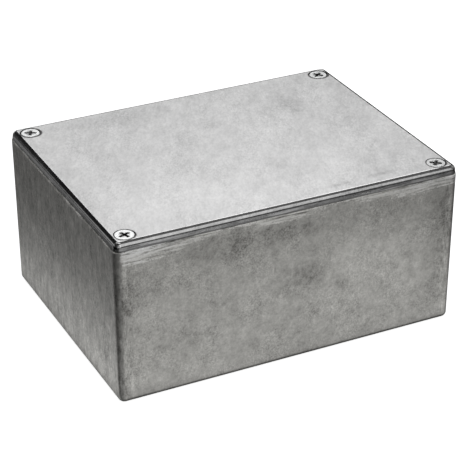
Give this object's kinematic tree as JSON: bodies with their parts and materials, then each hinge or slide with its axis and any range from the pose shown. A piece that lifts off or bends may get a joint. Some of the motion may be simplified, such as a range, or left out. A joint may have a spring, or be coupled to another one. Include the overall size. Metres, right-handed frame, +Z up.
{
  "type": "die-cast aluminium enclosure",
  "caption": "Plain die-cast aluminium box with drafted walls, a lid held by countersunk corner screws, and card guides and threaded corner bosses inside.",
  "frame": {"origin": "middle of the base's flat underside", "axes": "+X along the box's length, -Y towards the front face, +Z up out of the lid"},
  "size_m": [0.12, 0.09, 0.0565],
  "materials": {
    "cast_base": "bare die-cast, dull and mottled, with faint stains",
    "cast_lid": "bare die-cast, satin, faintly clouded",
    "plated_screw": "bright zinc plate"
  },
  "bodies": {
    "base": {"base": "cast_base"},
    "lid": {"lid": "cast_lid"},
    "screw_front_left": {"screw_front_left": "plated_screw"},
    "screw_front_right": {"screw_front_right": "plated_screw"},
    "screw_back_left": {"screw_back_left": "plated_screw"},
    "screw_back_right": {"screw_back_right": "plated_screw"}
  },
  "joints": [
    {"name": "lid_lift", "type": "slide", "parent": "base", "child": "lid", "axis": [0, 0, 1], "range_m": [0, 0.06]},
    {"name": "screw_front_left_out", "type": "slide", "parent": "lid", "child": "screw_front_left", "axis": [0, 0, 1], "range_m": [0, 0.018]},
    {"name": "screw_front_right_out", "type": "slide", "parent": "lid", "child": "screw_front_right", "axis": [0, 0, 1], "range_m": [0, 0.018]},
    {"name": "screw_back_left_out", "type": "slide", "parent": "lid", "child": "screw_back_left", "axis": [0, 0, 1], "range_m": [0, 0.018]},
    {"name": "screw_back_right_out", "type": "slide", "parent": "lid", "child": "screw_back_right", "axis": [0, 0, 1], "range_m": [0, 0.018]}
  ]
}
